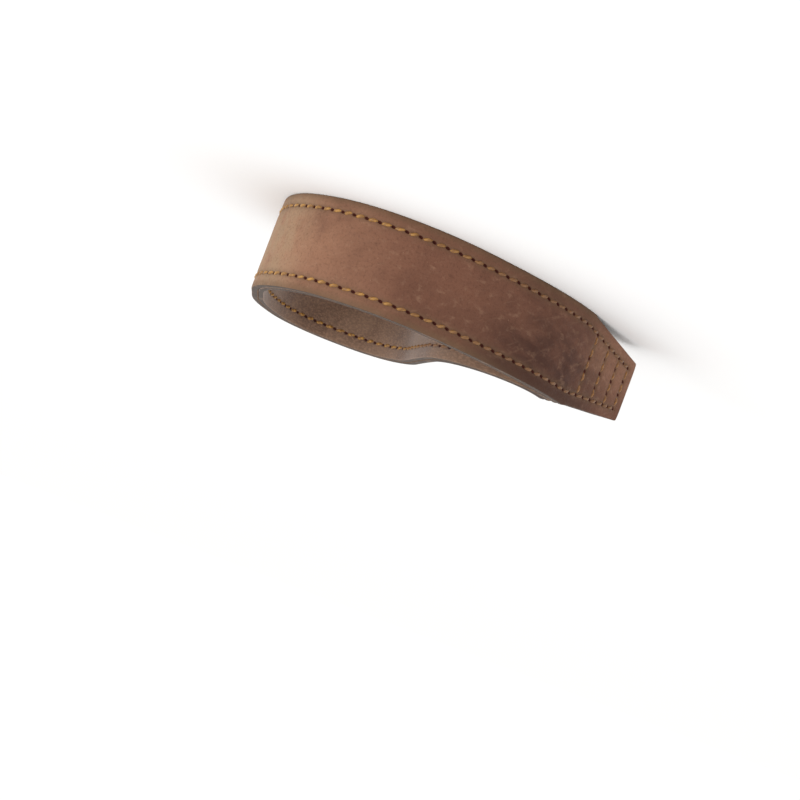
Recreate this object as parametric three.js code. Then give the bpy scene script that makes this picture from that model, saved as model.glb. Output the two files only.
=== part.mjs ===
// A camera wrist strap of stitched leather, standing on its lower edge as an open loop.
// Two plies, an outer leather and a lining, run once round the loop together. Both ends
// meet inner face to inner face in a short straight tail that narrows to a blunt tip.
// Millimetres, +Z up. The tail points away to the left, towards -X and +Y, and the long
// outer face of the front stretch looks towards -Y. The origin is at the middle of the
// footprint, on the surface that the strap stands on.

import * as THREE from "three";

// Strap
const strapWidth = 25;
const outerThickness = 1.9;
const liningThickness = 1.6;
const plyClearance = 0.3;
const cutEdgeChamfer = 0.4;

// Sewn tail
const tailLength = 32;
const tailClearance = 0.3;
const taperLength = 29.6;
const taperTipWidth = 16.4;
const shoulderStep = 0.45;
const shoulderLength = 1.4;

// Loop
const loopSize = 280;
const tailBearing = 123.5;
const facetLength = 3.2;

// The loop as the hand follows its inner face, from the far side of the tail round the back
// and the right side, and along the front to the tail again: each stretch's length as a share
// of loopSize, and how far it turns, in degrees, to the left where positive. The two stretches
// marked as closing have no length of their own, and take up what brings the ends together.
const stretches = [
  { name: "return_bend", share: 0.088, turn: 86.5 },
  { name: "return_easing", share: 0.072, turn: 48 },
  { name: "return_side", closing: true, turn: 0 },
  { name: "far_left_easing", share: 0.042, turn: -23 },
  { name: "far_left_bend", share: 0.057, turn: -55 },
  { name: "far_side", closing: true, turn: 0 },
  { name: "far_right_bend", share: 0.064, turn: -62 },
  { name: "far_right_easing", share: 0.075, turn: -28 },
  { name: "right_side", share: 0.036, turn: 0 },
  { name: "right_bend", share: 0.066, turn: -24.5 },
  { name: "right_easing", share: 0.049, turn: -20 },
  { name: "front_bend", share: 0.094, turn: -54 },
  { name: "front_easing", share: 0.049, turn: -20 },
  { name: "front_flat", share: 0.069, turn: -9.5 },
  { name: "front_at_tail", share: 0.067, turn: -18.5 },
];

function radians(degrees) {
  return (degrees * Math.PI) / 180;
}

function direction(heading) {
  return new THREE.Vector2(Math.cos(heading), Math.sin(heading));
}

// How far a stretch reaches for each millimetre of its length, as a vector.
function reachPerLength(heading, turn) {
  const half = turn / 2;
  const shortening = half === 0 ? 1 : Math.sin(half) / half;
  return direction(heading + half).multiplyScalar(shortening);
}

// Gives each stretch its starting heading and its length. The two closing lengths solve the
// pair of equations that bring the loop's end back beside its start, a clearance apart.
function closeLoop() {
  let heading = radians(tailBearing) + Math.PI;
  const inward = new THREE.Vector2(Math.sin(heading), -Math.cos(heading));
  const left = inward.multiplyScalar(tailClearance);
  const closers = [];
  const laid = stretches.map((stretch) => {
    const turn = radians(stretch.turn);
    const reach = reachPerLength(heading, turn);
    const entry = { heading, turn, reach, length: stretch.closing ? 0 : stretch.share * loopSize };
    if (stretch.closing) closers.push(entry);
    left.addScaledVector(reach, -entry.length);
    heading += turn;
    return entry;
  });
  const [first, second] = closers;
  const area = first.reach.cross(second.reach);
  first.length = left.cross(second.reach) / area;
  second.length = first.reach.cross(left) / area;
  return laid;
}

// A stretch's stations after its first: where the inner face is and how it is headed.
function layStretch(start, stretch) {
  const steps = Math.max(1, Math.ceil(stretch.length / facetLength));
  const stations = [];
  for (let step = 1; step <= steps; step += 1) {
    const part = step / steps;
    const reach = reachPerLength(stretch.heading, stretch.turn * part);
    const point = start.point.clone().addScaledVector(reach, stretch.length * part);
    const along = start.along + stretch.length * part;
    stations.push({ point, along, heading: stretch.heading + stretch.turn * part });
  }
  return stations;
}

// The tail's stations, from its tip: where the shoulder and the taper begin and end.
function tailDistances() {
  return [0, taperLength / 2, taperLength - shoulderLength, taperLength, tailLength];
}

// The whole route of the inner face, from the tip along the far side of the tail, round the
// loop, and out to the tip again along the near side of the tail.
function layRoute() {
  const bearing = radians(tailBearing);
  const tip = direction(bearing).multiplyScalar(tailLength);
  const farSide = tailDistances().map((distance) => ({
    point: tip.clone().addScaledVector(direction(bearing), -distance),
    along: distance,
    heading: bearing + Math.PI,
  }));
  const route = [...farSide];
  closeLoop().forEach((stretch) => {
    route.push(...layStretch(route[route.length - 1], stretch));
  });
  const join = route[route.length - 1];
  const tailAgain = tailDistances().reverse().slice(1);
  tailAgain.forEach((distance) => {
    const out = tailLength - distance;
    route.push({
      point: join.point.clone().addScaledVector(direction(bearing), out),
      along: join.along + out,
      heading: bearing,
    });
  });
  return route;
}

// Half of the strap's width, which narrows from the shoulder to the tip of the tail.
function halfWidth(fromTip) {
  const full = strapWidth / 2;
  const tip = taperTipWidth / 2;
  const neck = full - shoulderStep;
  if (fromTip >= taperLength) return full;
  const neckAt = taperLength - shoulderLength;
  if (fromTip > neckAt) return neck + (shoulderStep * (fromTip - neckAt)) / shoulderLength;
  return tip + ((neck - tip) * fromTip) / neckAt;
}

// A ply's section at one station, between two depths measured outwards from the loop's inner
// face. The corners at the depth named bare are cut back by the chamfer, the others are sharp.
function plySection(half, inner, outer, bare) {
  const chamfer = Math.min(cutEdgeChamfer, (outer - inner) / 2);
  const innerCut = bare === "inner" ? chamfer : 0;
  const outerCut = bare === "outer" ? chamfer : 0;
  const corners = [
    [inner, -half + innerCut],
    [inner + innerCut, -half],
    [outer - outerCut, -half],
    [outer, -half + outerCut],
    [outer, half - outerCut],
    [outer - outerCut, half],
    [inner + innerCut, half],
    [inner, half - innerCut],
  ];
  return corners.filter((corner, i) => {
    const next = corners[(i + 1) % corners.length];
    return corner[0] !== next[0] || corner[1] !== next[1];
  });
}

// Lofts one ply along the route as a closed mesh with a flat cap at each end.
function plyGeometry(route, inner, outer, bare) {
  const total = route[route.length - 1].along;
  const positions = [];
  const indices = [];
  let around = 0;
  route.forEach((station) => {
    const fromTip = Math.min(station.along, total - station.along);
    const section = plySection(halfWidth(fromTip), inner, outer, bare);
    const outward = new THREE.Vector2(-Math.sin(station.heading), Math.cos(station.heading));
    section.forEach(([depth, height]) => {
      const plan = station.point.clone().addScaledVector(outward, depth);
      positions.push(plan.x, plan.y, height + strapWidth / 2);
    });
    around = section.length;
  });
  for (let ring = 0; ring + 1 < route.length; ring += 1) {
    for (let i = 0; i < around; i += 1) {
      const a = ring * around + i;
      const b = ring * around + ((i + 1) % around);
      indices.push(a, b, b + around, a, b + around, a + around);
    }
  }
  const last = (route.length - 1) * around;
  for (let i = 1; i + 1 < around; i += 1) {
    indices.push(0, i + 1, i, last, last + i, last + i + 1);
  }
  const geometry = new THREE.BufferGeometry();
  geometry.setAttribute("position", new THREE.Float32BufferAttribute(positions, 3));
  geometry.setIndex(indices);
  geometry.computeVertexNormals();
  return geometry;
}

function leather(color, roughness) {
  return new THREE.MeshStandardMaterial({ color, roughness, metalness: 0 });
}

function namedMesh(name, geometry, material) {
  const mesh = new THREE.Mesh(geometry, material);
  mesh.name = name;
  return mesh;
}

function outerLeather(route) {
  const inner = liningThickness + plyClearance;
  const geometry = plyGeometry(route, inner, inner + outerThickness, "outer");
  return namedMesh("outer_leather", geometry, leather("#8a6455", 0.75));
}

function liningLeather(route) {
  const geometry = plyGeometry(route, 0, liningThickness, "inner");
  return namedMesh("lining_leather", geometry, leather("#8b857b", 0.85));
}

// Moves the strap so that the middle of its footprint is at the origin.
function centreFootprint(group) {
  const box = new THREE.Box3().setFromObject(group);
  const middle = box.getCenter(new THREE.Vector3());
  group.position.set(-middle.x, -middle.y, 0);
  group.updateMatrixWorld(true);
}

const route = layRoute();
const strap = new THREE.Group();
strap.add(outerLeather(route), liningLeather(route));
centreFootprint(strap);

export default strap;
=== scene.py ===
"""A camera wrist strap of stitched pull-up leather, standing on its edge as an open loop.

Each ply is cut flat, pierced and pressed along its seams, and then bent round the loop. The
thread is laid along the flat strap too, and bent with it. Lengths are in metres.
"""

import math
import random
from collections import namedtuple

import bpy
import numpy as np
from bpy.props import FloatProperty, FloatVectorProperty, PointerProperty
from mathutils import Matrix, Vector
from mathutils.kdtree import KDTree


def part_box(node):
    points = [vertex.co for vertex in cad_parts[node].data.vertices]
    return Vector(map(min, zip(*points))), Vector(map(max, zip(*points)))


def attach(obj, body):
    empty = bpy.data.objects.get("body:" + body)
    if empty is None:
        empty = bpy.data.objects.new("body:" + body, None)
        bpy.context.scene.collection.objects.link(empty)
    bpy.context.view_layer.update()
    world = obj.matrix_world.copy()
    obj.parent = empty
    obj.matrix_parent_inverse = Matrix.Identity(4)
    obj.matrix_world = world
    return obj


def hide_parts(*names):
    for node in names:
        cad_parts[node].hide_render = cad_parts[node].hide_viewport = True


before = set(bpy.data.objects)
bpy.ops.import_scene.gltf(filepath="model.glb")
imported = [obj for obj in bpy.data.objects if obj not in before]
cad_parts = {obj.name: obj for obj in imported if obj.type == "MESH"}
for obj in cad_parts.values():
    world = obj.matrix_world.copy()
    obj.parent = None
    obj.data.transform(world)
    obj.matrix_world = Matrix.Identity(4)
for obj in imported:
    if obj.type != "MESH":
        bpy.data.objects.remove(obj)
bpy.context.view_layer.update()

bl_info = {
    "name": "Leather wrist strap",
    "version": (1, 0, 0),
    "blender": (4, 5, 0),
    "location": "View3D > Sidebar > Wrist strap",
    "description": "Cuts, stitches and bends a leather camera wrist strap",
    "category": "Object",
}

MM = 0.001
STRAP_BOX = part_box("outer_leather")

# The loop as the hand follows its inner face, from the far side of the tail round the back and
# the right side, and along the front to the tail again: each stretch's share of the loop's
# size, and the degrees that it turns, to the left where positive. A stretch with no share
# takes up what closes the loop.
STRETCHES = (
    ("return bend", 0.088, 86.5),
    ("return easing", 0.072, 48.0),
    ("return side", None, 0.0),
    ("far left easing", 0.042, -23.0),
    ("far left bend", 0.057, -55.0),
    ("far side", None, 0.0),
    ("far right bend", 0.064, -62.0),
    ("far right easing", 0.075, -28.0),
    ("right side", 0.036, 0.0),
    ("right bend", 0.066, -24.5),
    ("right easing", 0.049, -20.0),
    ("front bend", 0.094, -54.0),
    ("front easing", 0.049, -20.0),
    ("flat of the front", 0.069, -9.5),
    ("front at the tail", 0.067, -18.5),
)

# The rows of stitches across the tail: the distance of each from the tip in millimetres, and
# how many stitches it has. The edge seams have a hole at each row and one between rows.
TAIL_ROWS = ((3.8, 3), (10.0, 4), (17.2, 4), (25.2, 5))

# The waves that the worn leather wanders in: the share of the waviness that each has, the
# millimetres along and across the strap that turn it by one radian, and its phase.
Wave = namedtuple("Wave", "share along across phase")
WAVES = (
    Wave(0.25, 7.1, 9.0, 0.9),
    Wave(0.25, 7.1, -9.0, 0.9),
    Wave(0.35, 3.9, 8.3, 2.1),
    Wave(0.25, 12.7, -5.2, 4.0),
)

# How far past the sewn tail the wander is full, how far inside the tail the lining's swell is
# full, and how far past the tail the inner seam starts.
WANDER_COMES_IN = 30 * MM
SWELL_COMES_IN = 4 * MM
INNER_SEAM_CLEAR = 6 * MM

# How near to a ply's face a vertex counts as on it, before the seams are pressed and after.
ON_FACE = 0.01 * MM
ON_PRESSED_FACE = 0.1 * MM

# Edges sharper than this are rounded, and are shaded as edges.
SHARP = math.radians(50)

# A polygon of a flat ply belongs to the cut edge if less than this share of its normal points
# through the strap.
FACE_NORMAL_SHARE = 0.6

# How abruptly the leather falls into a needle hole.
HOLE_FALL = 0.7

# The form of a stitch: how far its full width reaches towards its ends, how bluntly it ends,
# and how deep its ends dive, as a share of the thread's height.
STITCH_REACH = 2.6
STITCH_BLUNTNESS = 0.6
STITCH_DIVE = 0.75

# How much hand-sewn stitches differ: the spread of their slant in degrees, and the least and
# most that their length and their swell are multiplied by.
SLANT_SPREAD = 2.5
STITCH_LENGTHS = (0.95, 1.04)
STITCH_SWELLS = (0.92, 1.06)


class StrapSizes(bpy.types.PropertyGroup):
    """The cut of the strap and the way that it lies."""

    outer_thickness: FloatProperty(
        name="Outer leather", description="Thickness of the outer ply",
        default=2.0 * MM, unit="LENGTH", subtype="DISTANCE")
    lining_thickness: FloatProperty(
        name="Lining", description="Thickness of the lining",
        default=1.7 * MM, unit="LENGTH", subtype="DISTANCE")
    glue_line: FloatProperty(
        name="Glue line", description="Fine gap seen between the two plies",
        default=0.1 * MM, unit="LENGTH", subtype="DISTANCE")
    tail_gap: FloatProperty(
        name="Tail gap", description="Room between the two ends in the tail",
        default=0.3 * MM, unit="LENGTH", subtype="DISTANCE")
    tail_swell: FloatProperty(
        name="Tail swell", description="How far each lining swells into that room",
        default=0.12 * MM, unit="LENGTH", subtype="DISTANCE")
    tail_length: FloatProperty(
        name="Tail", description="Straight length in which the two ends lie together",
        default=32 * MM, unit="LENGTH", subtype="DISTANCE")
    taper_length: FloatProperty(
        name="Taper", description="Length over which the tail narrows",
        default=29.6 * MM, unit="LENGTH", subtype="DISTANCE")
    tip_width: FloatProperty(
        name="Tip width", description="Width at the blunt tip of the tail",
        default=16.4 * MM, unit="LENGTH", subtype="DISTANCE")
    shoulder_step: FloatProperty(
        name="Shoulder step", description="Step on each edge where the taper starts",
        default=0.45 * MM, unit="LENGTH", subtype="DISTANCE")
    shoulder_length: FloatProperty(
        name="Shoulder length", description="Length of that step along the strap",
        default=1.4 * MM, unit="LENGTH", subtype="DISTANCE")
    loop_size: FloatProperty(
        name="Loop size", description="Length that the loop's stretches are shares of",
        default=280 * MM, unit="LENGTH", subtype="DISTANCE")
    tail_bearing: FloatProperty(
        name="Tail bearing", description="Direction of the tail in plan",
        default=math.radians(123.5), unit="ROTATION", subtype="ANGLE")
    edge_round: FloatProperty(
        name="Edge rounding", description="Radius that the cut edges are sanded to",
        default=0.4 * MM, unit="LENGTH", subtype="DISTANCE")
    edge_droop: FloatProperty(
        name="Edge droop", description="How far the margin outside a seam falls off",
        default=0.18 * MM, unit="LENGTH", subtype="DISTANCE")
    waviness: FloatProperty(
        name="Waviness", description="How far worn leather strays from a smooth bend",
        default=0.2 * MM, unit="LENGTH", subtype="DISTANCE")


class SeamSizes(bpy.types.PropertyGroup):
    """The saddle stitching."""

    pitch: FloatProperty(
        name="Stitch pitch", description="Distance from one needle hole to the next",
        default=3.62 * MM, unit="LENGTH", subtype="DISTANCE")
    inset: FloatProperty(
        name="Seam inset", description="Distance from the cut edge to the seam",
        default=3.4 * MM, unit="LENGTH", subtype="DISTANCE")
    tip_inset: FloatProperty(
        name="Seam inset at the tip", description="The same at the tip of the tail",
        default=2.9 * MM, unit="LENGTH", subtype="DISTANCE")
    thread_length: FloatProperty(
        name="Stitch length", description="Thread from where it leaves a hole to the next",
        default=2.7 * MM, unit="LENGTH", subtype="DISTANCE")
    thread_width: FloatProperty(
        name="Thread width", description="Width of the waxed thread, pulled flat",
        default=0.82 * MM, unit="LENGTH", subtype="DISTANCE")
    thread_height: FloatProperty(
        name="Thread height", description="Height of the thread across its flat",
        default=0.62 * MM, unit="LENGTH", subtype="DISTANCE")
    thread_rise: FloatProperty(
        name="Thread rise", description="Height of the thread's middle over the seam's dip",
        default=0.1 * MM, unit="LENGTH", subtype="DISTANCE")
    thread_tilt: FloatProperty(
        name="Stitch tilt", description="Slant of each stitch to its seam",
        default=math.radians(-13), unit="ROTATION", subtype="ANGLE")
    row_tilt: FloatProperty(
        name="Row tilt", description="Slant of each stitch in the rows across the tail",
        default=math.radians(-5), unit="ROTATION", subtype="ANGLE")
    hole_length: FloatProperty(
        name="Hole length", description="Length of an awl's slit",
        default=1.15 * MM, unit="LENGTH", subtype="DISTANCE")
    hole_width: FloatProperty(
        name="Hole width", description="Width of an awl's slit",
        default=0.66 * MM, unit="LENGTH", subtype="DISTANCE")
    row_hole_growth: FloatProperty(
        name="Row hole growth", description="How much larger the holes of the tail's rows are",
        default=1.15)
    hole_tilt: FloatProperty(
        name="Hole tilt", description="Slant of each slit to its seam",
        default=math.radians(12), unit="ROTATION", subtype="ANGLE")
    hole_depth: FloatProperty(
        name="Hole depth", description="How deep the leather dips at a hole",
        default=0.55 * MM, unit="LENGTH", subtype="DISTANCE")
    channel_depth: FloatProperty(
        name="Seam dip", description="How far the tight thread presses the leather in",
        default=0.2 * MM, unit="LENGTH", subtype="DISTANCE")
    channel_width: FloatProperty(
        name="Seam dip width", description="Half width of that dip",
        default=1.0 * MM, unit="LENGTH", subtype="DISTANCE")


def hex_colour(code):
    """The linear colour of an sRGB hex code such as 8a6455."""
    channels = [int(code[i:i + 2], 16) / 255 for i in (0, 2, 4)]
    return tuple(c / 12.92 if c <= 0.04045 else ((c + 0.055) / 1.055) ** 2.4 for c in channels)


class StrapColours(bpy.types.PropertyGroup):
    """The colours of the strap, in linear light."""

    leather: FloatVectorProperty(
        name="Leather", description="Most of the outer leather",
        default=hex_colour("734d3c"), subtype="COLOR", size=3, min=0, max=1)
    # Oil darkening, and also the painted shade over the grip's upper edge and the upper half
    # round it.
    oil_and_shade: FloatVectorProperty(
        name="Oiled leather", description="Where oil and handling have darkened it",
        default=hex_colour("442a21"), subtype="COLOR", size=3, min=0, max=1)
    # Painted light: a lighter tan for the light that falls on the bend and on the lower half of
    # the tail's end.
    pulled: FloatVectorProperty(
        name="Pulled-up leather", description="Where bending has drawn the oil away",
        default=hex_colour("a57b60"), subtype="COLOR", size=3, min=0, max=1)
    # Painted sheen: a greyer, lighter tan at the sharpest bend.
    painted_sheen: FloatVectorProperty(
        name="Dried leather", description="Greyer tan at the sharpest bend",
        default=hex_colour("9c886c"), subtype="COLOR", size=3, min=0, max=1)
    scuff: FloatVectorProperty(
        name="Scuffs", description="Dry, rubbed nap",
        default=hex_colour("a68269"), subtype="COLOR", size=3, min=0, max=1)
    # Painted shade: this darker olive brown shades the margins outside the seams and the seams'
    # pressed dip.
    margin: FloatVectorProperty(
        name="Margin", description="Waxed margin outside the seams",
        default=hex_colour("66503b"), subtype="COLOR", size=3, min=0, max=1)
    # The burnished taupe of the edge, darkened further by painted shade.
    cut_edge_and_shade: FloatVectorProperty(
        name="Cut edge", description="Sanded and burnished edge",
        default=hex_colour("483c30"), subtype="COLOR", size=3, min=0, max=1)
    lining: FloatVectorProperty(
        name="Lining", description="Flesh side of the lining",
        default=hex_colour("7c6250"), subtype="COLOR", size=3, min=0, max=1)
    needle_hole: FloatVectorProperty(
        name="Needle hole", description="Shade inside a needle hole",
        default=hex_colour("43190f"), subtype="COLOR", size=3, min=0, max=1)
    thread: FloatVectorProperty(
        name="Thread", description="Amber waxed thread",
        default=hex_colour("b0803a"), subtype="COLOR", size=3, min=0, max=1)
    thread_worn: FloatVectorProperty(
        name="Worn thread", description="Thread browned by handling, near the tail",
        default=hex_colour("6c462b"), subtype="COLOR", size=3, min=0, max=1)
    thread_tail: FloatVectorProperty(
        name="Tail thread", description="The soiled thread of the rows across the tail",
        default=hex_colour("8e5e25"), subtype="COLOR", size=3, min=0, max=1)
    # Darker patches of the thread, and painted shade in the grooves between its strands.
    thread_tone_and_groove_shade: FloatVectorProperty(
        name="Thread in its twist", description="The thread between its strands",
        default=hex_colour("6c4218"), subtype="COLOR", size=3, min=0, max=1)


class StageSettings(bpy.types.PropertyGroup):
    """The floor, the light and the camera."""

    floor_size: FloatProperty(
        name="Floor", description="Width and depth of the floor",
        default=12.0, unit="LENGTH", subtype="DISTANCE")
    floor_colour: FloatVectorProperty(
        name="Floor colour", description="Colour of the painted floor",
        default=hex_colour("faf9f8"), subtype="COLOR", size=3, min=0, max=1)
    daylight: FloatProperty(
        name="Soft light", description="Strength of the even white light all round",
        default=1.06)
    key_place: FloatVectorProperty(
        name="Key light place", description="Where the light on the front stands",
        default=(1.05, -0.85, 0.3), size=3, unit="LENGTH", subtype="TRANSLATION")
    key_size: FloatProperty(
        name="Key light size", description="Width and height of that light",
        default=0.5, unit="LENGTH", subtype="DISTANCE")
    key_power: FloatProperty(
        name="Key light power", description="Power of that light",
        default=5.0, unit="POWER")
    lens: FloatProperty(
        name="Lens", description="Focal length in millimetres", default=104.0)
    distance: FloatProperty(
        name="Camera distance", description="From the camera to the middle of the strap",
        default=0.6, unit="LENGTH", subtype="DISTANCE")
    azimuth: FloatProperty(
        name="Azimuth", description="Turn of the camera round the strap",
        default=math.radians(0.86), unit="ROTATION", subtype="ANGLE")
    elevation: FloatProperty(
        name="Elevation", description="Height angle of the camera over the strap's middle",
        default=math.radians(8.53), unit="ROTATION", subtype="ANGLE")
    roll: FloatProperty(
        name="Roll", description="Turns the picture over, and leans the strap in it",
        default=math.radians(200.87), unit="ROTATION", subtype="ANGLE")
    aim_left: FloatProperty(
        name="Aim left", description="Turn of the camera to its own left",
        default=0.0223, unit="ROTATION", subtype="ANGLE")
    aim_down: FloatProperty(
        name="Aim down", description="Turn of the camera downwards in its own picture",
        default=0.0362, unit="ROTATION", subtype="ANGLE")


# The route round the loop

def heading_vector(heading):
    return np.array([math.cos(heading), math.sin(heading)])


def reach_per_length(heading, turn):
    """How far a stretch reaches, as a vector, for each unit of its length."""
    half = turn / 2
    shortening = 1.0 if half == 0 else math.sin(half) / half
    return heading_vector(heading + half) * shortening


def closed_stretches(sizes):
    """Each stretch's starting heading, turn and length, with the closing lengths solved."""
    heading = sizes.tail_bearing + math.pi
    left = sizes.tail_gap * np.array([math.sin(heading), -math.cos(heading)])
    laid = []
    closers = []
    for _, share, degrees in STRETCHES:
        turn = math.radians(degrees)
        length = 0.0 if share is None else share * sizes.loop_size
        if share is None:
            closers.append(len(laid))
        left = left - reach_per_length(heading, turn) * length
        laid.append([heading, turn, length])
        heading += turn
    reaches = np.array([reach_per_length(laid[i][0], laid[i][1]) for i in closers])
    for index, length in zip(closers, np.linalg.solve(reaches.T, left)):
        laid[index][2] = float(length)
    return laid


def strap_thickness(sizes):
    return sizes.lining_thickness + sizes.glue_line + sizes.outer_thickness


def outer_route(sizes, step=0.8 * MM):
    """Points along the outer face in plan, from tip to tip, where the CAD part has it."""
    bearing = heading_vector(sizes.tail_bearing)
    tail = max(1, round(sizes.tail_length / step))
    points = [bearing * sizes.tail_length * (1 - i / tail) for i in range(tail + 1)]
    headings = [sizes.tail_bearing + math.pi] * (tail + 1)
    for heading, turn, length in closed_stretches(sizes):
        start = points[-1]
        count = max(1, round(length / step))
        for i in range(1, count + 1):
            part = i / count
            reach = reach_per_length(heading, turn * part)
            points.append(start + reach * length * part)
            headings.append(heading + turn * part)
    start = points[-1]
    points += [start + bearing * sizes.tail_length * i / tail for i in range(1, tail + 1)]
    headings += [sizes.tail_bearing] * tail
    headings = np.array(headings)
    outward = np.stack([-np.sin(headings), np.cos(headings)], axis=1)
    outside = np.array(points) + outward * strap_thickness(sizes)
    middle = (outside.min(axis=0) + outside.max(axis=0)) / 2
    wanted = np.array([(STRAP_BOX[0][i] + STRAP_BOX[1][i]) / 2 for i in range(2)])
    return outside + (wanted - middle)


class FlatStrap:
    """The outline and the seams of the flat strap, by the distance along it from one tip."""

    def __init__(self, scene):
        self.sizes = scene.strap_sizes
        self.seams = scene.seam_sizes
        self.route = outer_route(self.sizes)
        steps = np.diff(self.route, axis=0)
        self.length = float(np.linalg.norm(steps, axis=1).sum())
        self.full = (STRAP_BOX[1][2] - STRAP_BOX[0][2]) / 2

    def from_tip(self, along):
        return np.minimum(along, self.length - along)

    def half_width(self, along):
        neck = self.full - self.sizes.shoulder_step
        neck_at = self.sizes.taper_length - self.sizes.shoulder_length
        return np.interp(self.from_tip(along), [0, neck_at, self.sizes.taper_length],
                         [self.sizes.tip_width / 2, neck, self.full])

    def seam_height(self, along):
        """Height of the edge seams over the strap's middle line."""
        inset = np.interp(self.from_tip(along), [0, self.sizes.taper_length],
                          [self.seams.tip_inset, self.seams.inset])
        return self.half_width(along) - inset

    def edge_holes(self):
        """Where the needle holes of an edge seam are, from tip to tip."""
        rows = [distance * MM for distance, _ in TAIL_ROWS]
        tail = sorted(rows + [(a + b) / 2 for a, b in zip(rows[:-1], rows[1:])])
        run = self.length - 2 * tail[-1]
        count = round(run / self.seams.pitch)
        middle = tail[-1] + np.arange(1, count) * run / count
        return np.concatenate([tail, middle, self.length - np.array(tail[::-1])])

    def edge_rows(self, clear=0.0):
        """The holes of the two edge seams, from a clear distance off each tip."""
        holes = self.edge_holes()
        holes = holes[self.from_tip(holes) >= clear]
        heights = self.seam_height(holes)
        return [list(zip(holes, heights)), list(zip(holes, -heights))]

    def tail_rows(self):
        """The holes of the rows across the tail, at both ends of the strap."""
        rows = []
        for distance, stitches in TAIL_ROWS:
            for along in (distance * MM, self.length - distance * MM):
                reach = float(self.seam_height(along))
                rows.append([(along, h) for h in np.linspace(-reach, reach, stitches + 1)])
        return rows

    def wander(self, along, height):
        """A gentle wander of worn leather, none in the tail, where the ends are sewn flat."""
        swing = sum(
            wave.share * np.sin(along / MM / wave.along + height / MM / wave.across + wave.phase)
            for wave in WAVES)
        past_tail = self.from_tip(along) - self.sizes.tail_length
        return self.sizes.waviness * swing * np.clip(past_tail / WANDER_COMES_IN, 0, 1)


# Meshes

def clear_selection():
    if bpy.context.mode != "OBJECT":
        bpy.ops.object.mode_set(mode="OBJECT")
    bpy.ops.object.select_all(action="DESELECT")


def make_active(piece):
    clear_selection()
    piece.select_set(True)
    bpy.context.view_layer.objects.active = piece


def read_points(mesh):
    flat = np.empty(len(mesh.vertices) * 3)
    mesh.vertices.foreach_get("co", flat)
    return flat.reshape(-1, 3)


def write_points(mesh, points):
    mesh.vertices.foreach_set("co", points.ravel())
    mesh.update()


def apply_modifier(piece, kind, **settings):
    make_active(piece)
    modifier = piece.modifiers.new(kind.lower(), kind)
    for key, value in settings.items():
        setattr(modifier, key, value)
    bpy.ops.object.modifier_apply(modifier=modifier.name)


def keep_flat_places(piece):
    """Stores where each vertex lies on the flat strap, for the patterns of the leather."""
    attribute = piece.data.attributes.new("flat_cut", "FLOAT_VECTOR", "POINT")
    attribute.data.foreach_set("vector", read_points(piece.data).ravel())


def bend_round_loop(piece, strap):
    """Bends a flat piece round the loop: its X follows the route, and its Y points outwards."""
    points = read_points(piece.data)
    points[:, 1] += strap.wander(points[:, 0], points[:, 2])
    write_points(piece.data, points)
    curve = bpy.data.curves.new("route", "CURVE")
    curve.dimensions = "2D"
    spline = curve.splines.new("POLY")
    spline.points.add(len(strap.route) - 1)
    corners = np.zeros((len(strap.route), 4))
    corners[:, :2] = strap.route
    corners[:, 3] = 1
    spline.points.foreach_set("co", corners.ravel())
    path = bpy.data.objects.new("route", curve)
    bpy.context.scene.collection.objects.link(path)
    apply_modifier(piece, "CURVE", object=path, deform_axis="POS_X")
    bpy.data.objects.remove(path)
    bpy.data.curves.remove(curve)
    points = read_points(piece.data)
    points[:, 2] += (STRAP_BOX[0][2] + STRAP_BOX[1][2]) / 2
    write_points(piece.data, points)


def crowded_rows(share, seam_share, at=0.73, crowding=4.5, spread=0.085):
    """Moves evenly spread rows, from -1 to 1, so that they crowd at the seams.

    The rows at the share called at crowd most, and land on the seam's share of the half width.
    """
    places = np.linspace(0, 1, 1001)
    density = 1 + crowding * np.exp(-((places - at) / spread) ** 2)
    grown = np.concatenate([[0], np.cumsum((density[1:] + density[:-1]) / 2)])
    crowded = np.interp(np.abs(share), grown / grown[-1], places)
    inside = crowded / at * seam_share
    outside = seam_share + (crowded - at) / (1 - at) * (1 - seam_share)
    return np.sign(share) * np.where(crowded < at, inside, outside)


def cut_flat_ply(name, inner, outer, strap, columns=950, rows=42):
    """A ply cut flat between two depths, with its tapered ends and its sanded edges."""
    clear_selection()
    bpy.ops.mesh.primitive_grid_add(
        x_subdivisions=columns, y_subdivisions=rows, size=2.0, rotation=(math.pi / 2, 0, 0))
    ply = bpy.context.object
    ply.name = ply.data.name = name
    bpy.ops.object.transform_apply(location=False, rotation=True, scale=False)
    points = read_points(ply.data)
    # The first column at each tip is wide enough for the rounded edge.
    column = 2 / columns
    room = 1.5 * strap.sizes.edge_round
    along = np.interp(points[:, 0], [-1, column - 1, 1 - column, 1],
                      [0, room, strap.length - room, strap.length])
    half = strap.half_width(along)
    height = half * crowded_rows(points[:, 2], strap.seam_height(along) / half)
    depth = np.full(len(points), (inner + outer) / 2)
    write_points(ply.data, np.stack([along, depth, height], axis=1))
    apply_modifier(ply, "SOLIDIFY", thickness=outer - inner, offset=0)
    apply_modifier(ply, "BEVEL", width=strap.sizes.edge_round, segments=3,
                   limit_method="ANGLE", angle_limit=SHARP)
    return ply


def hole_growths(edge_rows, tail_rows, seams):
    """How much larger than an edge seam's each needle hole is, by its place in millimetres.

    Where a row across the tail starts at an edge seam, the two share its larger hole.
    """
    growths = {}
    for rows, growth in ((edge_rows, 1.0), (tail_rows, seams.row_hole_growth)):
        for row in rows:
            for along, height in row:
                growths[round(along / MM, 3), round(height / MM, 3)] = growth
    return growths


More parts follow.
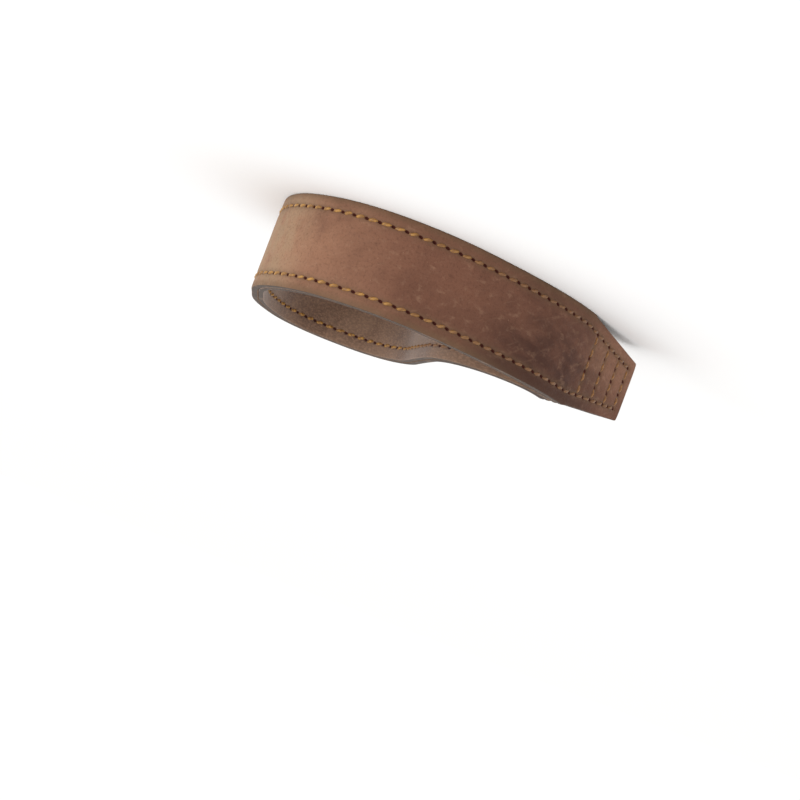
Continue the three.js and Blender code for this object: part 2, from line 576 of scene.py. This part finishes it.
def pierced_share(points, on_face, side, growths, seams):
    """How far each vertex of a face is inside a needle hole, from 0 to 1."""
    tree = KDTree(len(growths))
    for index, (along, height) in enumerate(growths):
        tree.insert((along * MM, 0, height * MM), index)
    tree.balance()
    growth_of = list(growths.values())
    lean = seams.hole_tilt * side
    pierced = np.zeros(len(points))
    for index in np.nonzero(on_face)[0]:
        along, _, height = points[index]
        place, hole, _ = tree.find((along, 0, height))
        u, w = (along - place.x) / growth_of[hole], (height - place.z) / growth_of[hole]
        major = (u * math.cos(lean) + w * math.sin(lean)) / (seams.hole_length / 2)
        minor = (w * math.cos(lean) - u * math.sin(lean)) / (seams.hole_width / 2)
        pierced[index] = math.exp(-HOLE_FALL * (major ** 2 + minor ** 2) ** 2)
    return pierced


def press_seams(ply, face_depth, side, edge_rows, tail_rows, strap):
    """Presses the seams and their needle holes into one face of a flat ply.

    side is 1 where the face looks outwards and -1 where it looks into the loop. How far each
    vertex is inside a hole, and how near to a seam, is stored too, for the painted shade in the
    holes and in the seams' pressed dip.
    """
    seams = strap.seams
    points = read_points(ply.data)
    deep = np.abs(points[:, 1] - face_depth)
    from_tip = strap.from_tip(points[:, 0])
    seam = strap.seam_height(points[:, 0])
    over_seam = np.abs(points[:, 2]) - seam
    sewn = from_tip > edge_rows[0][0][0] - seams.hole_length
    pulled_in = np.exp(-(over_seam / seams.channel_width) ** 2) * sewn
    for distance, _ in TAIL_ROWS if tail_rows else ():
        over_row = from_tip - distance * MM
        across = np.exp(-(over_row / seams.channel_width) ** 2) * (over_seam < 0)
        pulled_in = np.maximum(pulled_in, across)
    outside = np.clip(over_seam / (strap.half_width(points[:, 0]) - seam), 0, 1)
    dip = seams.channel_depth * pulled_in + strap.sizes.edge_droop * outside ** 2
    growths = hole_growths(edge_rows, tail_rows, seams)
    pierced = pierced_share(points, deep < ON_FACE, side, growths, seams)
    points[:, 1] -= side * (dip * (1 - deep / deep.max()) + seams.hole_depth * pierced)
    write_points(ply.data, points)
    for name, values in (("pierced", pierced), ("pressed", pulled_in)):
        attribute = ply.data.attributes.new(name, "FLOAT", "POINT")
        attribute.data.foreach_set("value", values)


def close_tail(ply, inner, strap):
    """Lets the lining swell by a hair in the tail, so that the two ends meet there."""
    points = read_points(ply.data)
    inside_tail = strap.sizes.tail_length - strap.from_tip(points[:, 0])
    swollen = np.clip(inside_tail / SWELL_COMES_IN, 0, 1)
    on_face = points[:, 1] < inner + ON_PRESSED_FACE
    points[:, 1] -= strap.sizes.tail_swell * swollen * on_face
    write_points(ply.data, points)


def edge_material_on_edges(ply):
    """Gives the cut edges the second material, by the way that they face on the flat ply."""
    normals = np.empty(len(ply.data.polygons) * 3)
    ply.data.polygons.foreach_get("normal", normals)
    facing = np.abs(normals.reshape(-1, 3)[:, 1])
    on_edge = (facing < FACE_NORMAL_SHARE).astype(np.int32)
    ply.data.polygons.foreach_set("material_index", on_edge)


def shape_stitch(seams):
    """One stitch: a short lens of thread along X, whose ends dive into their holes."""
    clear_selection()
    bpy.ops.mesh.primitive_uv_sphere_add(
        segments=8, ring_count=6, radius=1.0, rotation=(0, math.pi / 2, 0))
    stitch = bpy.context.object
    bpy.ops.object.transform_apply(location=False, rotation=True, scale=False)
    points = read_points(stitch.data)
    # 0 at the middle of the stitch and 1 at its ends, where the ball has a single point.
    end = np.clip(np.abs(points[:, 0]), 0, 1)
    ball = np.sqrt(np.maximum(1 - end ** 2, 1e-9))
    fuller = np.where(end < 0.999, (1 - end ** STITCH_REACH) ** STITCH_BLUNTNESS / ball, 0)
    dive = STITCH_DIVE * seams.thread_height * end ** 3
    shaped = np.stack([
        points[:, 0] * seams.thread_length / 2,
        points[:, 1] * fuller * seams.thread_height / 2 + seams.thread_rise - dive,
        points[:, 2] * fuller * seams.thread_width / 2,
    ], axis=1)
    write_points(stitch.data, shaped)
    return stitch


def lay_stitches(name, rows, face_depth, side, seams, tilt, seed):
    """Copies one stitch between the holes of each row, and joins the copies."""
    draw = random.Random(seed)
    stitch = shape_stitch(seams)
    copies = []
    for row in rows:
        for first, last in zip(row[:-1], row[1:]):
            across, up = last[0] - first[0], last[1] - first[1]
            lean = math.radians(draw.gauss(0, SLANT_SPREAD))
            angle = math.atan2(up, across) + tilt * side + lean
            stretch = math.hypot(across, up) / seams.pitch * draw.uniform(*STITCH_LENGTHS)
            swell = draw.uniform(*STITCH_SWELLS)
            middle = ((first[0] + last[0]) / 2, face_depth, (first[1] + last[1]) / 2)
            turned_in = Matrix.Rotation(0 if side > 0 else math.pi, 4, "X")
            placed = (Matrix.Translation(middle) @ Matrix.Rotation(-angle, 4, "Y") @ turned_in
                      @ Matrix.Diagonal((stretch, swell, swell, 1)))
            copy = stitch.copy()
            copy.data = stitch.data.copy()
            copy.data.transform(placed)
            bpy.context.scene.collection.objects.link(copy)
            copies.append(copy)
    bpy.data.objects.remove(stitch)
    make_active(copies[0])
    for copy in copies:
        copy.select_set(True)
    bpy.ops.object.join()
    seam = bpy.context.object
    seam.name = seam.data.name = name
    return seam


# Materials

# A range of a zone: what it is measured by, the millimetres where it starts and is full, and
# its share before the one and past the other.
Range = namedtuple("Range", "measure starts full low high")

# The grip is the stretch that fingers hold. It lies on both sides of this distance from an end.
GRIP_FROM_END = 40.0
GRIP = Range("off_grip", 34.0, 7.0, 0.0, 1.0)
BEFORE_THE_BACK = Range("from_tip", 205.0, 150.0, 0.3, 1.0)

# The zones of the strap that a layer can keep to: the grip, darkened by oil from hands and by
# painted shade towards its upper edge; the grip's upper margin and the upper half of the stretch
# round it, darkened by painted shade; the bend, made lighter by painted light, with a painted
# grey sheen where it is sharpest; the lower half of the tail's end, made lighter by painted
# light; the margins outside the seams, darkened by painted shade; and where the thread is
# soiled. Ranges in one zone multiply.
ZONES = {
    "grip oil and shade": (GRIP, Range("height", -9.0, 6.0, 0.4, 1.0)),
    "shaded grip edge": (GRIP, Range("height", 8.0, 11.0, 0.0, 1.0)),
    "shaded upper half": (
        Range("from_end", 92.0, 76.0, 0.0, 1.0), Range("height", -2.0, 6.0, 0.0, 1.0)),
    "bent": (Range("from_tip", 82.0, 142.0, 0.0, 1.0), BEFORE_THE_BACK),
    "painted_sheen": (Range("from_tip", 115.0, 133.0, 0.0, 1.0), BEFORE_THE_BACK),
    "tip": (Range("from_end", 32.0, 18.0, 0.0, 1.0), Range("height", 6.0, -4.0, 0.1, 1.0)),
    "margin": (Range("off_middle", 9.8, 12.4, 0.0, 1.0),),
    "soiled": (Range("from_end", 112.0, 54.0, 0.0, 1.0),),
}

# A layer of colour over a material: its colour's name, the size of its patches in millimetres
# along, through and across the strap, their slant in degrees, the detail of their pattern, the
# pattern's values where the layer starts and is full, how strong it is there, and its zone:
# one of the above, "pressed" for the strips that the thread presses in, or None for all.
Layer = namedtuple("Layer", "colour size slant detail starts full strength zone")

LEATHER_LAYERS = (
    Layer("oil_and_shade", (13, 13, 13), 0, 4, 0.44, 0.74, 0.30, None),
    # Oil from hands over the grip, with painted shade that grows towards its upper edge.
    Layer("oil_and_shade", (6, 6, 6), 0, 3, 0.00, 0.30, 0.55, "grip oil and shade"),
    Layer("oil_and_shade", (13, 8, 5), -12, 4, 0.36, 0.58, 0.90, "grip oil and shade"),
    # Painted shade over the upper half of the stretch round the grip.
    Layer("oil_and_shade", (9, 6, 6), 0, 3, 0.10, 0.50, 0.28, "shaded upper half"),
    # Painted light over the bend.
    Layer("pulled", (13, 13, 13), 0, 4, 0.90, 0.42, 0.88, "bent"),
    # Painted light over the lower half of the tail's end.
    Layer("pulled", (7, 7, 7), 0, 3, 0.00, 0.60, 0.32, "tip"),
    # Painted grey sheen at the sharpest bend.
    Layer("painted_sheen", (7, 7, 7), 0, 3, 0.20, 0.60, 0.55, "painted_sheen"),
    Layer("scuff", (3.4, 2.4, 2.2), 0, 5, 0.52, 0.80, 0.40, None),
    Layer("oil_and_shade", (3.4, 2.4, 2.2), 0, 5, 0.46, 0.22, 0.30, None),
    Layer("oil_and_shade", (0.7, 0.7, 0.7), 0, 3, 0.52, 0.28, 0.32, None),
    Layer("scuff", (8.0, 2.0, 1.5), 32, 4, 0.54, 0.88, 0.28, None),
    Layer("scuff", (0.9, 0.9, 0.9), 0, 1, 0.74, 0.82, 0.50, None),
    Layer("needle_hole", (0.9, 0.9, 0.9), 0, 1, 0.24, 0.18, 0.50, None),
    # Painted shade on the margins outside the seams.
    Layer("margin", (5, 5, 5), 0, 3, 0.20, 0.45, 0.65, "margin"),
    # Painted shade in the seams' pressed dip.
    Layer("margin", (3, 3, 3), 0, 3, 0.15, 0.50, 0.55, "pressed"),
    # Painted shade on the grip's upper margin.
    Layer("oil_and_shade", (5, 5, 5), 0, 3, 0.10, 0.45, 0.80, "shaded grip edge"),
)
EDGE_LAYERS = (
    Layer("oil_and_shade", (4.0, 0.25, 0.6), 0, 4, 0.35, 0.70, 0.60, None),
    Layer("scuff", (5.0, 5.0, 5.0), 0, 3, 0.50, 0.75, 0.30, None),
)
LINING_LAYERS = (
    Layer("oil_and_shade", (11, 11, 11), 0, 3, 0.35, 0.65, 0.40, None),
    Layer("scuff", (0.9, 0.55, 0.55), 0, 5, 0.40, 0.70, 0.45, None),
)
TAIL_THREAD_LAYERS = (
    Layer("thread_tone_and_groove_shade", (2.6, 2.6, 2.6), 0, 2, 0.45, 0.70, 0.50, None),
)
THREAD_LAYERS = (
    Layer("thread_tone_and_groove_shade", (2.6, 2.6, 2.6), 0, 2, 0.48, 0.70, 0.45, None),
    Layer("thread_worn", (9, 9, 9), 0, 2, 0.10, 0.45, 0.85, "soiled"),
)

# Sizes of the fine patterns in millimetres. The nap and the fibres are really about 0.1 mm
# and are drawn coarser, and so is the thread's twist, as they wouldn't show otherwise.
WRINKLES = 2.4
NAP = 0.5
PORES = 0.8
EDGE_FIBRES = (4.0, 0.25, 0.625)
LINING_FIBRES = 0.55
THREAD_TWIST = 2.6


def add_node(tree, kind, inputs=None, output=0, **settings):
    """Adds a node, sets it up, links or sets its inputs, and returns one of its outputs."""
    node = tree.nodes.new(kind)
    for key, value in settings.items():
        setattr(node, key, value)
    for socket, value in (inputs or {}).items():
        if isinstance(value, bpy.types.NodeSocket):
            tree.links.new(value, node.inputs[socket])
        else:
            node.inputs[socket].default_value = value
    return node.outputs[output] if node.outputs else None


def new_material(name, **sockets):
    """A material with one shader, whose sockets that are the same all over are set here."""
    material = bpy.data.materials.new(name)
    material.use_nodes = True
    tree = material.node_tree
    tree.nodes.clear()
    surface = add_node(tree, "ShaderNodeBsdfPrincipled")
    for socket, value in sockets.items():
        surface.node.inputs[socket.replace("_", " ")].default_value = value
    add_node(tree, "ShaderNodeOutputMaterial", {"Surface": surface})
    return material, tree, surface.node


def rgba(colour):
    return (*colour, 1.0)


def flat_place(tree):
    """Where the surface lies on the flat strap, in millimetres."""
    flat = add_node(tree, "ShaderNodeAttribute", output="Vector", attribute_name="flat_cut")
    return add_node(tree, "ShaderNodeVectorMath", {0: flat, "Scale": 1 / MM}, operation="SCALE")


def measures_at(tree, place, strap):
    """The distances in millimetres that the zones are measured by."""
    along = add_node(tree, "ShaderNodeSeparateXYZ", {0: place}, output="X")
    height = add_node(tree, "ShaderNodeSeparateXYZ", {0: place}, output="Z")
    from_tip = add_node(tree, "ShaderNodeMath", {0: strap.length / MM, 1: along},
                        operation="SUBTRACT")
    from_end = add_node(tree, "ShaderNodeMath", {0: from_tip, 1: along}, operation="MINIMUM")
    from_grip = add_node(tree, "ShaderNodeMath", {0: from_end, 1: GRIP_FROM_END},
                         operation="SUBTRACT")
    return {
        "height": height,
        "from_tip": from_tip,
        "from_end": from_end,
        "off_grip": add_node(tree, "ShaderNodeMath", {0: from_grip}, operation="ABSOLUTE"),
        "off_middle": add_node(tree, "ShaderNodeMath", {0: height}, operation="ABSOLUTE"),
    }


def zone_shares(tree, layers, place, strap):
    """How far inside each zone that the layers keep to the surface is, from 0 to 1."""
    names = list(dict.fromkeys(layer.zone for layer in layers if layer.zone))
    if not names:
        return {}
    measures = measures_at(tree, place, strap)
    zones = {}
    for name in names:
        if name == "pressed":
            zones[name] = add_node(tree, "ShaderNodeAttribute", output="Fac",
                                   attribute_name=name)
            continue
        share = None
        for part in ZONES[name]:
            inside = add_node(tree, "ShaderNodeMapRange", {
                "Value": measures[part.measure], "From Min": part.starts,
                "From Max": part.full, "To Min": part.low, "To Max": part.high},
                interpolation_type="SMOOTHSTEP")
            share = inside if share is None else add_node(
                tree, "ShaderNodeMath", {0: share, 1: inside}, operation="MULTIPLY")
        zones[name] = share
    return zones


def paint(tree, base, layers, place, colours, strap):
    """Lays the layers over a colour in turn."""
    colour = rgba(base)
    zones = zone_shares(tree, layers, place, strap)
    for layer in layers:
        drawn = add_node(tree, "ShaderNodeMapping", {
            "Vector": place, "Rotation": (0, math.radians(layer.slant), 0),
            "Scale": layer.size}, vector_type="TEXTURE")
        pattern = add_node(tree, "ShaderNodeTexNoise", {
            "Vector": drawn, "Scale": 1.0, "Detail": layer.detail, "Roughness": 0.6})
        share = add_node(tree, "ShaderNodeMapRange", {
            "Value": pattern, "From Min": layer.starts, "From Max": layer.full,
            "To Max": layer.strength}, interpolation_type="SMOOTHSTEP")
        if layer.zone is not None:
            share = add_node(tree, "ShaderNodeMath", {0: share, 1: zones[layer.zone]},
                             operation="MULTIPLY")
        over = rgba(getattr(colours, layer.colour))
        colour = add_node(tree, "ShaderNodeMix", {0: share, 6: colour, 7: over}, output=2,
                          data_type="RGBA")
    return colour


def darken_holes(tree, colour, colours):
    """The colour with the shade inside the needle holes."""
    pierced = add_node(tree, "ShaderNodeAttribute", output="Fac", attribute_name="pierced")
    share = add_node(tree, "ShaderNodeMapRange", {
        "Value": pierced, "From Min": 0.2, "From Max": 0.55}, interpolation_type="SMOOTHSTEP")
    return add_node(tree, "ShaderNodeMix", {0: share, 6: colour, 7: rgba(colours.needle_hole)},
                    output=2, data_type="RGBA")


def pull_up_leather(colours, strap):
    """Oiled pull-up leather with a fine nubuck nap.

    Oil and wax leave cloudy dark patches, most of all by the tail, where it is held, and painted
    shade darkens its upper edge there. Painted light makes the bend a lighter tan, with a painted
    grey sheen where it is sharpest, and rubbing leaves pale, dry scuffs. The nap makes it matt,
    with a soft sheen where the leather turns away.
    """
    material, tree, shader = new_material(
        "pull_up_leather", IOR=1.45, Specular_IOR_Level=0.18, Sheen_Weight=0.05,
        Sheen_Roughness=0.5, Sheen_Tint=rgba(colours.scuff))
    place = flat_place(tree)
    colour = paint(tree, colours.leather, LEATHER_LAYERS, place, colours, strap)
    tree.links.new(darken_holes(tree, colour, colours), shader.inputs["Base Color"])
    wrinkles = add_node(tree, "ShaderNodeTexNoise", {
        "Vector": place, "Scale": 1 / WRINKLES, "Detail": 5.0, "Roughness": 0.65})
    nap = add_node(tree, "ShaderNodeTexNoise", {"Vector": place, "Scale": 1 / NAP, "Detail": 3.0})
    pores = add_node(tree, "ShaderNodeTexVoronoi", {"Vector": place, "Scale": 1 / PORES})
    # The hollows of the wrinkles keep more wax than their ridges, which rub dry.
    tree.links.new(add_node(tree, "ShaderNodeMapRange", {
        "Value": wrinkles, "From Min": 0.3, "From Max": 0.7, "To Min": 0.58, "To Max": 0.8}),
        shader.inputs["Roughness"])
    # The wrinkles stand highest, then the nap, then the pores.
    relief = add_node(tree, "ShaderNodeMath", {0: pores, 1: 0.5, 2: nap},
                      operation="MULTIPLY_ADD")
    relief = add_node(tree, "ShaderNodeMath", {0: wrinkles, 1: 1.6, 2: relief},
                      operation="MULTIPLY_ADD")
    tree.links.new(add_node(tree, "ShaderNodeBump", {
        "Height": relief, "Strength": 0.5, "Distance": 0.15 * MM}), shader.inputs["Normal"])
    return material


def burnished_edge(colours, strap):
    """A cut edge of leather, sanded and rubbed with wax: taupe, darkened by painted shade, with
    its fibres along it.
    """
    material, tree, shader = new_material(
        "burnished_leather_edge", Roughness=0.62, IOR=1.45, Specular_IOR_Level=0.25)
    place = flat_place(tree)
    colour = paint(tree, colours.cut_edge_and_shade, EDGE_LAYERS, place, colours, strap)
    tree.links.new(colour, shader.inputs["Base Color"])
    drawn = add_node(tree, "ShaderNodeMapping", {
        "Vector": place, "Scale": [1 / size for size in EDGE_FIBRES]})
    fibres = add_node(tree, "ShaderNodeTexNoise", {"Vector": drawn, "Scale": 1.0, "Detail": 4.0})
    tree.links.new(add_node(tree, "ShaderNodeBump", {
        "Height": fibres, "Strength": 0.6, "Distance": 0.12 * MM}), shader.inputs["Normal"])
    return material


def suede_lining(colours, strap):
    """The flesh side of split leather: a short fibrous nap, matt and a little greyer."""
    material, tree, shader = new_material(
        "suede_lining", Roughness=0.9, Specular_IOR_Level=0.2, Sheen_Weight=0.3,
        Sheen_Roughness=0.5)
    place = flat_place(tree)
    colour = paint(tree, colours.lining, LINING_LAYERS, place, colours, strap)
    tree.links.new(darken_holes(tree, colour, colours), shader.inputs["Base Color"])
    fibres = add_node(tree, "ShaderNodeTexNoise", {
        "Vector": place, "Scale": 1 / LINING_FIBRES, "Detail": 5.0, "Roughness": 0.7})
    tree.links.new(add_node(tree, "ShaderNodeBump", {
        "Height": fibres, "Strength": 0.7, "Distance": 0.2 * MM}), shader.inputs["Normal"])
    return material


def waxed_thread(name, base, layers, colours, strap):
    """Waxed linen thread: its strands twist across it, and the wax gives it a soft gloss.

    It is a clean amber at the bend and browner by the tail, where hands have soiled it, and
    the rows across the tail are soiled all over.
    """
    material, tree, shader = new_material(name, Roughness=0.42, IOR=1.5)
    place = flat_place(tree)
    colour = paint(tree, base, layers, place, colours, strap)
    twist = add_node(tree, "ShaderNodeTexWave", {
        "Vector": place, "Scale": 1 / THREAD_TWIST, "Distortion": 0.5, "Detail": 1.0},
        output="Fac", wave_type="BANDS", bands_direction="DIAGONAL")
    # Painted shade in the grooves between the twisted strands.
    between = add_node(tree, "ShaderNodeMapRange", {
        "Value": twist, "From Min": 0.75, "From Max": 0.1, "To Max": 0.6})
    colour = add_node(tree, "ShaderNodeMix", {
        0: between, 6: colour, 7: rgba(colours.thread_tone_and_groove_shade)}, output=2, data_type="RGBA")
    tree.links.new(colour, shader.inputs["Base Color"])
    tree.links.new(add_node(tree, "ShaderNodeBump", {
        "Height": twist, "Strength": 0.6, "Distance": 0.15 * MM}), shader.inputs["Normal"])
    return material


# Operators

def finish_piece(piece, slot, *nodes):
    make_active(piece)
    bpy.ops.object.shade_smooth_by_angle(angle=SHARP)
    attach(piece, "root")
    if nodes:
        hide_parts(*nodes)


class CutOuterLeather(bpy.types.Operator):
    """Cut, press and bend the outer leather"""

    bl_idname = "wrist_strap.outer_leather"
    bl_label = "Outer leather"

    def execute(self, context):
        strap, colours = FlatStrap(context.scene), context.scene.strap_colours
        ply = cut_flat_ply("outer_leather_cut", -strap.sizes.outer_thickness, 0, strap)
        ply.data.materials.append(pull_up_leather(colours, strap))
        ply.data.materials.append(burnished_edge(colours, strap))
        edge_material_on_edges(ply)
        keep_flat_places(ply)
        press_seams(ply, 0, 1, strap.edge_rows(), strap.tail_rows(), strap)
        bend_round_loop(ply, strap)
        finish_piece(ply, "outer_leather", "outer_leather")
        return {"FINISHED"}


class CutLining(bpy.types.Operator):
    """Cut, press and bend the lining"""

    bl_idname = "wrist_strap.lining"
    bl_label = "Lining"

    def execute(self, context):
        strap, colours = FlatStrap(context.scene), context.scene.strap_colours
        inner = -strap_thickness(strap.sizes)
        ply = cut_flat_ply("lining_cut", inner, inner + strap.sizes.lining_thickness, strap)
        ply.data.materials.append(suede_lining(colours, strap))
        ply.data.materials.append(burnished_edge(colours, strap))
        edge_material_on_edges(ply)
        keep_flat_places(ply)
        press_seams(ply, inner, -1, strap.edge_rows(strap.sizes.tail_length), [], strap)
        close_tail(ply, inner, strap)
        bend_round_loop(ply, strap)
        finish_piece(ply, "lining_leather", "lining_leather")
        return {"FINISHED"}


class SewStrap(bpy.types.Operator):
    """Lay the thread of the edge seams and of the rows across the tail"""

    bl_idname = "wrist_strap.thread"
    bl_label = "Thread"

    def execute(self, context):
        strap = FlatStrap(context.scene)
        seams = strap.seams
        colours = context.scene.strap_colours
        thread = waxed_thread(
            "waxed_linen_thread", colours.thread, THREAD_LAYERS, colours, strap)
        soiled = waxed_thread(
            "soiled_linen_thread", colours.thread_tail, TAIL_THREAD_LAYERS, colours, strap)
        outside = -seams.channel_depth
        inside = seams.channel_depth - strap_thickness(strap.sizes)
        clear_of_tail = strap.sizes.tail_length + INNER_SEAM_CLEAR
        laid = (
            ("outer_seam_thread", strap.edge_rows(), outside, 1, seams.thread_tilt, thread),
            ("tail_row_thread", strap.tail_rows(), outside, 1, seams.row_tilt, soiled),
            ("inner_seam_thread", strap.edge_rows(clear_of_tail), inside, -1,
             seams.thread_tilt, thread),
        )
        for seed, (name, rows, face, side, tilt, material) in enumerate(laid):
            piece = lay_stitches(name, rows, face, side, seams, tilt, seed)
            piece.data.materials.append(material)
            keep_flat_places(piece)
            bend_round_loop(piece, strap)
            finish_piece(piece, "thread")
        return {"FINISHED"}


def add_soft_light(name, place, target, size, power):
    data = bpy.data.lights.new(name, "AREA")
    data.shape = "SQUARE"
    data.size = size
    data.energy = power
    light = bpy.data.objects.new(name, data)
    light.location = place
    light.rotation_euler = (target - Vector(place)).to_track_quat("-Z", "Y").to_euler()
    bpy.context.scene.collection.objects.link(light)


class SetStage(bpy.types.Operator):
    """Set the floor, the lights and the camera"""

    bl_idname = "wrist_strap.stage"
    bl_label = "Stage"

    def execute(self, context):
        stage = context.scene.stage_settings
        middle = Vector((0, 0, (STRAP_BOX[0][2] + STRAP_BOX[1][2]) / 2))
        clear_selection()
        bpy.ops.mesh.primitive_plane_add(size=stage.floor_size)
        floor = bpy.context.object
        floor.name = "floor"
        # Matt wall paint: even and white, with no shine that would mirror the strap.
        matt_paint, _, _ = new_material(
            "white_matt_paint", Base_Color=rgba(stage.floor_colour), Roughness=0.9,
            Specular_IOR_Level=0.0)
        floor.data.materials.append(matt_paint)
        world = bpy.data.worlds.new("light_tent")
        world.use_nodes = True
        background = world.node_tree.nodes["Background"].inputs
        background["Color"].default_value = (1.0, 1.0, 1.0, 1.0)
        background["Strength"].default_value = stage.daylight
        context.scene.world = world
        context.scene.view_settings.view_transform = "Standard"
        add_soft_light("key_light", stage.key_place, middle, stage.key_size, stage.key_power)
        self.set_camera(context, stage, middle)
        return {"FINISHED"}

    def set_camera(self, context, stage, middle):
        data = bpy.data.cameras.new("camera")
        data.lens = stage.lens
        data.sensor_width = 36
        data.clip_start = 0.01
        data.clip_end = 50
        camera = bpy.data.objects.new("camera", data)
        context.scene.collection.objects.link(camera)
        context.scene.camera = camera
        camera.matrix_world = (
            Matrix.Translation(middle)
            @ Matrix.Rotation(stage.azimuth, 4, "Z")
            @ Matrix.Rotation(math.pi / 2 - stage.elevation, 4, "X")
            @ Matrix.Translation((0, 0, stage.distance))
            @ Matrix.Rotation(stage.roll, 4, "Z")
            @ Matrix.Rotation(stage.aim_left, 4, "Y")
            @ Matrix.Rotation(-stage.aim_down, 4, "X"))


class StrapPanel(bpy.types.Panel):
    """Lists the steps that make the strap"""

    bl_idname = "VIEW3D_PT_wrist_strap"
    bl_label = "Wrist strap"
    bl_space_type = "VIEW_3D"
    bl_region_type = "UI"
    bl_category = "Wrist strap"

    def draw(self, context):
        for step in STEPS:
            self.layout.operator(step.bl_idname)


STEPS = (CutOuterLeather, CutLining, SewStrap, SetStage)
GROUPS = {
    "strap_sizes": StrapSizes,
    "seam_sizes": SeamSizes,
    "strap_colours": StrapColours,
    "stage_settings": StageSettings,
}


def register():
    for cls in (*GROUPS.values(), *STEPS, StrapPanel):
        bpy.utils.register_class(cls)
    for name, group in GROUPS.items():
        setattr(bpy.types.Scene, name, PointerProperty(type=group))


def unregister():
    for name in GROUPS:
        delattr(bpy.types.Scene, name)
    for cls in reversed((*GROUPS.values(), *STEPS, StrapPanel)):
        bpy.utils.unregister_class(cls)


def main():
    register()
    bpy.ops.wrist_strap.outer_leather()
    bpy.ops.wrist_strap.lining()
    bpy.ops.wrist_strap.thread()
    bpy.ops.wrist_strap.stage()


if __name__ == "__main__":
    main()
